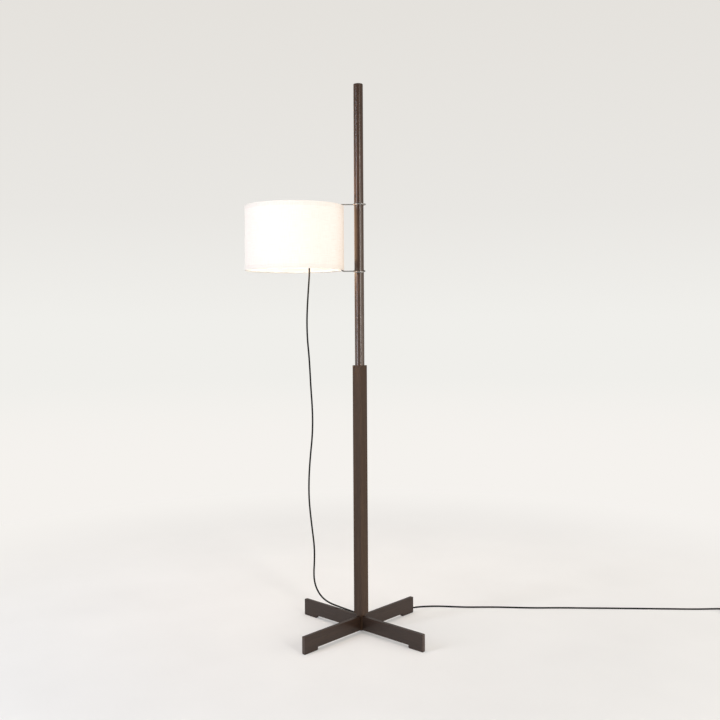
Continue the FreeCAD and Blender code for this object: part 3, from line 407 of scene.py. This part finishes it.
def metal(name, colour, roughness, brushed=(220.0, 220.0, 40.0), depth=0.00002, spread=0.12):
    """Bare or plated metal with fine working marks."""
    look = Look(name, roughness, metallic=1.0)
    marks = look.noise(look.mapped(brushed, 0.0), detail=3.0, scale=4.0)
    cloud = look.even_noise(60.0, detail=3.0)
    low = tone(*[c * (1 - spread) for c in colour])
    look.give("Base Color", look.ramp(cloud, [(0.3, low), (0.7, tone(*colour))]))
    look.give("Roughness", look.ranged(marks, 0.25, 0.75, roughness * 0.75, roughness * 1.35))
    look.bump(marks, 0.2, depth)
    return look.material


# Shade cloth and its painted glow: pitches and widths in metres

WARP_PITCH = 0.0007
WEFT_PITCH = 0.0008
SLUB_SCALES = (30.0, 900.0)
CLOTH_SHEEN = 0.15
CLOTH_RELIEF = 0.00012
CLOTH_TONES = [(0.35, tone(206, 199, 191)), (0.65, tone(217, 211, 205))]
HEM_WIDE = 0.013
HEM_DIM = 0.86
HEM_BLUR = 0.0005
# Painted light: the cloth's emission is a painted glow for the bulb's light, not a lamp
GLOW = 0.3
GLOW_RANGE = (0.84, 1.0)
FAR_GLOW_TONE = tone(255, 221, 196)
NEAR_GLOW_TONE = tone(255, 249, 243)
GLOW_SHIFT = Vector((-0.014, -0.02, 0.0))
GLOW_FLAT = 0.3
GLOW_FALL = 1.5
BULB_GLOW = 24.0


def fabric():
    """Ivory woven shade cloth with its threads and slubs, and a painted glow standing in for the bulb's
    light through it.
    """
    look = Look("shade_fabric", 0.85)
    around = look.add("ShaderNodeUVMap", uv_map="cloth").outputs[0]
    sideways, upward = look.split(around)[:2]
    warp = look.maths("SINE", look.maths("MULTIPLY", sideways, 2 * math.pi / WARP_PITCH))
    weft = look.maths("SINE", look.maths("MULTIPLY", upward, 2 * math.pi / WEFT_PITCH))
    threads = look.maths("MULTIPLY", warp, weft)
    long, thin = SLUB_SCALES
    slub_across = look.noise(look.mapped((long, thin, 1.0), 0.0, around), detail=2.0)
    slub_up = look.noise(look.mapped((thin, long, 1.0), 0.0, around), detail=2.0)
    slubs = look.maths("ADD", slub_across, slub_up)
    look.give("Base Color", look.ramp(look.maths("MULTIPLY", slubs, 0.5), CLOTH_TONES))
    look.give("Sheen Weight", CLOTH_SHEEN)
    look.bump(look.maths("ADD", threads, slubs), 0.25, CLOTH_RELIEF)
    # Painted light: the glow is brightest near a point beside the bulb, warmer and dimmer further off,
    # and dimmer in the hem bands as painted shade
    flat = look.add("ShaderNodeVectorMath", operation="MULTIPLY")
    look.set(flat, 0, look.place)
    look.set(flat, 1, (1.0, 1.0, GLOW_FLAT))
    source = BULB_CENTRE + GLOW_SHIFT
    away = look.add("ShaderNodeVectorMath", operation="DISTANCE")
    look.set(away, 0, flat.outputs[0])
    look.set(away, 1, (source.x, source.y, source.z * GLOW_FLAT))
    reach = look.maths("DIVIDE", SHADE_RADIUS, away.outputs["Value"])
    glow = look.maths("MULTIPLY", look.maths("POWER", reach, GLOW_FALL),
                      look.ranged(slubs, 0.6, 1.4, 0.94, 1.06))
    look.give("Emission Color",
              look.mix(look.ranged(glow, *GLOW_RANGE), FAR_GLOW_TONE, NEAR_GLOW_TONE))
    from_middle = look.maths("SUBTRACT", look.split(look.place)[2], (SHADE_LOW.z + SHADE_HIGH.z) / 2)
    half = (SHADE_HIGH.z - SHADE_LOW.z) / 2
    hem = look.ranged(look.maths("ABSOLUTE", from_middle), half - HEM_WIDE - HEM_BLUR,
                      half - HEM_WIDE, 1.0, HEM_DIM)
    look.give("Emission Strength", look.maths("MULTIPLY", look.maths("MULTIPLY", glow, hem), GLOW))
    return look.material


def cord_sheath():
    """Black flexible sheath, slightly matt, with faint drawing lines."""
    look = Look("cord_sheath", 0.5)
    look.give("Specular IOR Level", 0.13)
    fine = look.even_noise(500.0)
    broad = look.even_noise(30.0)
    look.give("Base Color", look.ramp(broad, [(0.35, tone(7, 6, 6)), (0.65, tone(12, 11, 10))]))
    look.give("Roughness", look.ranged(fine, 0.3, 0.7, 0.4, 0.55))
    look.bump(fine, 0.2, 0.00005)
    return look.material


def opal():
    """Opal glass of the lit bulb."""
    look = Look("bulb_glass", 0.25)
    look.give("Base Color", look.ramp(look.even_noise(60.0), [(0.35, tone(240, 234, 222)),
                                                              (0.65, tone(250, 246, 238))]))
    look.give("Emission Color", tone(255, 245, 231))
    look.give("Emission Strength", BULB_GLOW)
    return look.material


def clear_glass():
    """Clear glass of the bulb's stem."""
    look = Look("clear_glass", 0.05)
    look.give("Transmission Weight", 1.0)
    look.give("IOR", 1.5)
    swirl = look.noise(look.mapped((80.0, 80.0, 20.0)), detail=2.0)
    look.give("Base Color", look.ramp(swirl, [(0.3, tone(236, 240, 238)),
                                              (0.7, tone(250, 252, 250))]))
    return look.material


def felt():
    """Dark felt of the foot pads."""
    look = Look("felt", 0.95)
    fuzz = look.even_noise(1500.0, detail=4.0, roughness=0.7)
    look.give("Base Color", look.ramp(fuzz, [(0.3, tone(30, 26, 24)), (0.7, tone(62, 55, 50))]))
    look.bump(fuzz, 0.6, 0.0003)
    return look.material


LOOKS = {
    "lower_board_wood": wood("dark_wood_lower_board", "x", BOARD_TURN, varnish=0.55,
                             dark=(37, 25, 17), light=(57, 39, 29), pore=(26, 16, 11),
                             end_grain=(78, 64, 57)),
    # The upper board's tones are a little lighter and cooler than the lower board's: painted cool light
    # from the left on its left-facing sides
    "upper_board_wood": wood("dark_wood_upper_board", "x", BOARD_TURN + math.pi / 2, varnish=0.55,
                             dark=(38, 27, 21), light=(59, 44, 36), pore=(26, 17, 13),
                             end_grain=(78, 64, 57)),
    "post_wood": wood("dark_wood_post", "z", dark=(52, 38, 28), light=(80, 61, 46)),
    "mast_wood": wood("dark_wood_mast", "z", varnish=0.8),
    "felt": felt(),
    "zinc_steel": metal("zinc_steel", (176, 178, 180), 0.38),
    "brass": metal("brass", (201, 164, 92), 0.3),
    "chrome_wire": metal("chrome_wire", (156, 154, 152), 0.14, spread=0.06),
    "white_wire": moulded("white_wire", (234, 232, 226), 0.4),
    "black_metal": moulded("black_metal", (34, 33, 32), 0.4, grain=600.0),
    "black_plastic": moulded("black_plastic", (27, 27, 28), 0.42),
    "ceramic": moulded("ceramic", (233, 230, 222), 0.25),
    "bulb_glass": opal(),
    "clear_glass": clear_glass(),
    "bulb_metal": metal("bulb_metal", (196, 192, 182), 0.3),
    "spring_steel": metal("spring_steel", (168, 170, 172), 0.25),
    "pull_plastic": moulded("pull_plastic", (28, 28, 29), 0.45),
    "cord_sheath": cord_sheath(),
    "shade_fabric": fabric(),
}

DRESSED = {
    "lower_board_wood": ["lower_board"],
    "upper_board_wood": ["upper_board"],
    "post_wood": ["post"],
    "mast_wood": ["mast"],
    "felt": ["foot_pad_right_rear", "foot_pad_left_rear", "foot_pad_left_front",
             "foot_pad_right_front"],
    "zinc_steel": ["base_bolt", "base_washer", "joint_stud", "stay_collar", "collar_grub_screw",
                   "holder_nipple", "nipple_nut", "switch_nut"],
    "brass": ["post_foot_insert", "post_top_insert", "mast_insert", "plug_pins", "thread_shell",
              "centre_contact", "switch_contacts", "contact_bridge"],
    "chrome_wire": ["upper_wire", "lower_wire", "shade_spacer", "shade_screw", "shade_cap_nut"],
    "white_wire": ["spider_frame", "shade_bottom_hoop"],
    "black_metal": ["holder_bracket"],
    "black_plastic": ["cord_tie", "plug_body", "holder_cap", "holder_skirt", "bulb_insulator",
                      "switch_body", "switch_lid"],
    "ceramic": ["holder_core"],
    "bulb_glass": ["bulb_glass"],
    "clear_glass": ["bulb_stem"],
    "bulb_metal": ["bulb_cap", "bulb_tip"],
    "spring_steel": ["return_spring"],
    "pull_plastic": ["pull_sleeve"],
    "cord_sheath": ["switch_leads", "plug_relief", "cord_hanging", "cord_floor", "cord_coil"],
    "shade_fabric": ["shade_drum"],
}


def dress():
    """Give every carried-over solid its own material."""
    for look, names in DRESSED.items():
        for name in names:
            mesh = nodes[name].data
            mesh.materials.clear()
            mesh.materials.append(LOOKS[look])


dress()

# The cord's two stretches


def make_cords():
    upper = nurbs_line(HANG_ROUTE)
    hanging = tube("hanging_cord", upper, CORD_DIAMETER, LOOKS["cord_sheath"])
    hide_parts("cord_hanging")
    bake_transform(hanging)
    lower = nurbs_line(FLOOR_ROUTE + coil_points() + [CORD_END])
    lying = tube("floor_cord", lower, CORD_DIAMETER, LOOKS["cord_sheath"])
    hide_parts("cord_floor", "cord_coil")
    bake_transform(lying)
    print(f"cord: {length_of(upper):.4f} m hanging, {length_of(lower):.4f} m below")


make_cords()

# Return spring

SPRING_WIRE = 0.0008
SPRING_TURNS = 5
SPRING_STEPS = 24


def make_spring():
    """The switch's spring: a helix of wire in the return spring's place."""
    low, high = (Vector(corner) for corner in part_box("return_spring"))
    radius = (high.x - low.x - SPRING_WIRE) / 2
    foot = Vector(((low.x + high.x) / 2, (low.y + high.y) / 2, low.z + SPRING_WIRE / 2))
    rise = high.z - low.z - SPRING_WIRE
    count = SPRING_TURNS * SPRING_STEPS
    line = []
    for i in range(count + 1):
        angle = 2 * math.pi * i / SPRING_STEPS
        line.append(foot + Vector((radius * math.cos(angle), radius * math.sin(angle),
                                   rise * i / count)))
    spring = tube("coil_spring", line, SPRING_WIRE, LOOKS["spring_steel"])
    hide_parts("return_spring")
    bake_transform(spring)


make_spring()

# Fabric shade

HEM_PROUD = 0.0003
HEM_SLOPE = 0.0012
SEAM_ANGLE = math.radians(52)
SEAM_HALF_WIDE = 0.006
SEAM_SLOPE = 0.001
WAVE_HEIGHT = 0.00012
WAVES_AROUND = 5
WAVE_START = 1.1
SHADE_WALL = 0.0012
SHADE_SEGMENTS = 288
WALL_STEPS = 40
RIM_STEPS = 5


def shade_profile():
    """Closed half section of the cloth wall, as (distance out of the nominal wall, height, outer)."""
    low, high = SHADE_LOW.z, SHADE_HIGH.z
    half = SHADE_WALL / 2
    points = []
    for i in range(WALL_STEPS + 1):
        points.append((0.0, low + half + (high - low - SHADE_WALL) * i / WALL_STEPS, True))
    for i in range(1, RIM_STEPS):
        angle = math.pi * i / RIM_STEPS
        points.append((-half + half * math.cos(angle), high - half + half * math.sin(angle), False))
    for i in range(WALL_STEPS + 1):
        share = 1 - i / WALL_STEPS
        points.append((-SHADE_WALL, low + half + (high - low - SHADE_WALL) * share, False))
    for i in range(1, RIM_STEPS):
        angle = math.pi + math.pi * i / RIM_STEPS
        points.append((-half + half * math.cos(angle), low + half + half * math.sin(angle), False))
    return points


def proud(height, angle):
    """How far the cloth stands out: its hems, its overlapped seam and a slight waviness."""
    low, high = SHADE_LOW.z, SHADE_HIGH.z
    edge = min(height - low, high - height)
    hem = HEM_PROUD * min(1.0, max(0.0, (HEM_WIDE - edge) / HEM_SLOPE))
    across = abs(math.remainder(angle - SEAM_ANGLE, 2 * math.pi)) * SHADE_RADIUS
    seam = HEM_PROUD * min(1.0, max(0.0, (SEAM_HALF_WIDE - across) / SEAM_SLOPE))
    swell = math.sin(math.pi * (height - low) / (high - low))
    wave = WAVE_HEIGHT * math.sin(WAVES_AROUND * angle + WAVE_START) * swell
    return max(hem, seam) + wave


def make_shade():
    """The drum's cloth: the wall's half section turned round the axis, with its length unrolled."""
    profile = shade_profile()
    count = len(profile)
    points = []
    for s in range(SHADE_SEGMENTS):
        angle = 2 * math.pi * s / SHADE_SEGMENTS
        for out, height, outer in profile:
            radius = SHADE_RADIUS - HEM_PROUD + out + (proud(height, angle) if outer else 0.0)
            points.append((SHADE_X + radius * math.cos(angle), radius * math.sin(angle), height))
    faces = []
    for s in range(SHADE_SEGMENTS):
        n = (s + 1) % SHADE_SEGMENTS
        for k in range(count):
            m = (k + 1) % count
            faces.append((s * count + k, n * count + k, n * count + m, s * count + m))
    shade = mesh_piece("shade_cloth", points, faces, LOOKS["shade_fabric"])
    uv = shade.data.uv_layers.new(name="cloth")
    for polygon in shade.data.polygons:
        s = polygon.index // count
        for corner, loop in enumerate(polygon.loop_indices):
            step = s + (1 if corner in (1, 2) else 0)
            vertex = shade.data.loops[loop].vertex_index
            around = 2 * math.pi * step / SHADE_SEGMENTS * SHADE_RADIUS
            uv.data[loop].uv = (around, points[vertex][2])
    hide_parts("shade_drum")
    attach(shade, "shade_unit")


make_shade()

# Floor and backdrop: places and distances in metres

FLOOR_RINGS = (0.4, 0.8, 1.2, 1.6, 2.4, 3.6, 6.0, 12.0, 40.0)
FLOOR_SEGMENTS = 64
FLOOR_LIFT = 0.18
FLOOR_RIGHT_PAINTED_SHADE = (0.935, 0.935, 0.935, 1.0)
RIGHT_PAINTED_SHADE_FROM_TO = (-0.15, 0.5)
REAR_FROM_TO = (-0.6, 1.1)
FLOOR_FADE = (0.75, 2.2)
WALL_FADE = (3.0, 12.0)
NEAR_WALL_TONE = tone(245, 242, 238)
HORIZON_TONE = tone(240, 239, 235)
BACKDROP_TONES = [(0.0, HORIZON_TONE), (0.12, tone(233, 231, 227)), (0.33, tone(229, 226, 221))]
WORLD_TONE = (1.0, 0.985, 0.96, 1.0)
WORLD_LIGHT = 0.34
ROOM_DEPTH = (-0.8, 0.6)
ROOM_BRIGHTNESS = (0.1, 0.5)


def floor_look():
    """Pale floor near the lamp, with painted shade darkening its right side, that passes into the
    backdrop's own tone further out.
    """
    look = Look("floor", 0.7)
    mottle = look.even_noise(3.0)
    right, back = look.split(look.place)[:2]
    near = look.ramp(mottle, [(0.3, tone(202, 203, 203)), (0.7, tone(206, 207, 207))])
    # Painted shade: the near floor turns darker towards its right side
    near = look.mix(look.ranged(right, *RIGHT_PAINTED_SHADE_FROM_TO), near, FLOOR_RIGHT_PAINTED_SHADE, kind="MULTIPLY")
    rear = look.ramp(mottle, [(0.3, tone(229, 228, 226)), (0.7, tone(233, 232, 230))])
    look.give("Base Color", look.mix(look.ranged(back, *REAR_FROM_TO), near, rear))
    look.give("Specular IOR Level", 0.1)
    away = look.add("ShaderNodeVectorMath", operation="LENGTH")
    look.set(away, 0, look.place)
    far = away.outputs["Value"]
    light = look.add("ShaderNodeEmission")
    look.set(light, "Color", look.mix(look.ranged(far, *WALL_FADE), NEAR_WALL_TONE, HORIZON_TONE))
    seen = look.rays()[1]
    look.give("Emission Color", tone(255, 252, 250))
    look.give("Emission Strength", look.maths("MULTIPLY", seen, FLOOR_LIFT))
    blend = look.add("ShaderNodeMixShader")
    look.set(blend, 0, look.maths("MULTIPLY", look.ranged(far, *FLOOR_FADE), seen))
    look.set(blend, 1, look.shader.outputs[0])
    look.set(blend, 2, light.outputs[0])
    look.set(look.tree.nodes["Material Output"], "Surface", blend.outputs[0])
    return look.material


def make_floor():
    points = [(0.0, 0.0, 0.0)]
    for radius in FLOOR_RINGS:
        for k in range(FLOOR_SEGMENTS):
            angle = 2 * math.pi * k / FLOOR_SEGMENTS
            points.append((radius * math.cos(angle), radius * math.sin(angle), 0.0))
    faces = []
    for k in range(FLOOR_SEGMENTS):
        faces.append((0, 1 + k, 1 + (k + 1) % FLOOR_SEGMENTS))
    for ring in range(len(FLOOR_RINGS) - 1):
        low, high = 1 + ring * FLOOR_SEGMENTS, 1 + (ring + 1) * FLOOR_SEGMENTS
        for k in range(FLOOR_SEGMENTS):
            n = (k + 1) % FLOOR_SEGMENTS
            faces.append((low + k, high + k, high + n, low + n))
    floor = mesh_piece("floor", points, faces, floor_look(), smooth=False)


def make_world():
    """Even light from all round; the camera and glossy surfaces see the pale backdrop."""
    world = bpy.data.worlds.new("studio")
    world.use_nodes = True
    bpy.context.scene.world = world
    sky = Nodes(world.node_tree)
    shown, lit = sky.tree.nodes["Background"], sky.add("ShaderNodeBackground")
    way = sky.split(sky.add("ShaderNodeTexCoord").outputs["Generated"])
    camera, seen = sky.rays()
    room = sky.ranged(way[1], *ROOM_DEPTH, *ROOM_BRIGHTNESS)
    sky.set(shown, "Color", sky.ramp(way[2], BACKDROP_TONES))
    sky.set(shown, "Strength", sky.maths("MAXIMUM", camera, room))
    sky.set(lit, "Color", WORLD_TONE)
    sky.set(lit, "Strength", WORLD_LIGHT)
    blend = sky.add("ShaderNodeMixShader")
    sky.set(blend, 0, seen)
    sky.set(blend, 1, lit.outputs[0])
    sky.set(blend, 2, shown.outputs[0])
    sky.set(sky.tree.nodes["World Output"], "Surface", blend.outputs[0])


def softbox(name, place, target, wide, high, radiance, colour):
    """A rectangular lamp that gives an even light and shows only in reflections."""
    data = bpy.data.lights.new(name, "AREA")
    data.shape = "RECTANGLE"
    data.size = wide
    data.size_y = high
    data.energy = radiance * math.pi * wide * high
    data.color = colour
    light = bpy.data.objects.new(name, data)
    light.location = place
    way = Vector(target) - Vector(place)
    light.rotation_euler = way.to_track_quat("-Z", "Y").to_euler()
    light.visible_camera = False
    light.visible_transmission = False
    bpy.context.scene.collection.objects.link(light)
    return light


# Each studio lamp's name, place, target, width, height, radiance and colour
STUDIO_LAMPS = [
    ("left", (-2.3, -1.4, 1.35), (0, 0, 1.2), 0.5, 1.7, 12.5, (0.87, 0.9, 1.0)),
    ("right", (1.5, -2.5, 1.3), (0, 0, 1.2), 0.46, 1.65, 18.0, (1.0, 0.95, 0.9)),
    ("side", (2.5, -1.1, 1.0), (0, 0, 0.8), 1.6, 1.4, 3.0, (1.0, 0.89, 0.75)),
    ("low_left", (-2.5, -1.0, 0.45), (0, 0, 0.2), 1.2, 0.8, 2.4, (0.94, 0.93, 1.0)),
    ("top", (0, 0.2, 4.0), (0, 0, 0), 3.0, 3.0, 2.1, (1.0, 0.985, 0.965)),
]

# The shade's own warm light on the mast, through the cloth and out of both openings:
# each of these lamps has its width, height and radiance
LAMPLIGHT = (1.0, 0.62, 0.34)
CLOTH_GAP = 0.002
CLOTH_LAMP = (0.1, 0.17, 1.6)
OPENING_INSET = 0.09
OPENING_LAMP = (0.16, 0.16, 15.0)


def make_lights():
    for lamp in STUDIO_LAMPS:
        softbox(*lamp)
    mast_side = SHADE_X + SHADE_RADIUS
    opening = mast_side - OPENING_INSET
    lamplights = [
        softbox("through_cloth", (mast_side + CLOTH_GAP, 0, BULB_CENTRE.z), (0, 0, BULB_CENTRE.z),
                *CLOTH_LAMP, LAMPLIGHT),
        softbox("below", (opening, 0, SHADE_LOW.z), (opening, 0, 0), *OPENING_LAMP, LAMPLIGHT),
        softbox("above", (opening, 0, SHADE_HIGH.z), (opening, 0, 2), *OPENING_LAMP, LAMPLIGHT),
    ]
    for lamplight in lamplights:
        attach(lamplight, "shade_unit")


make_floor()
make_world()
make_lights()

bpy.context.scene.view_settings.view_transform = "Standard"
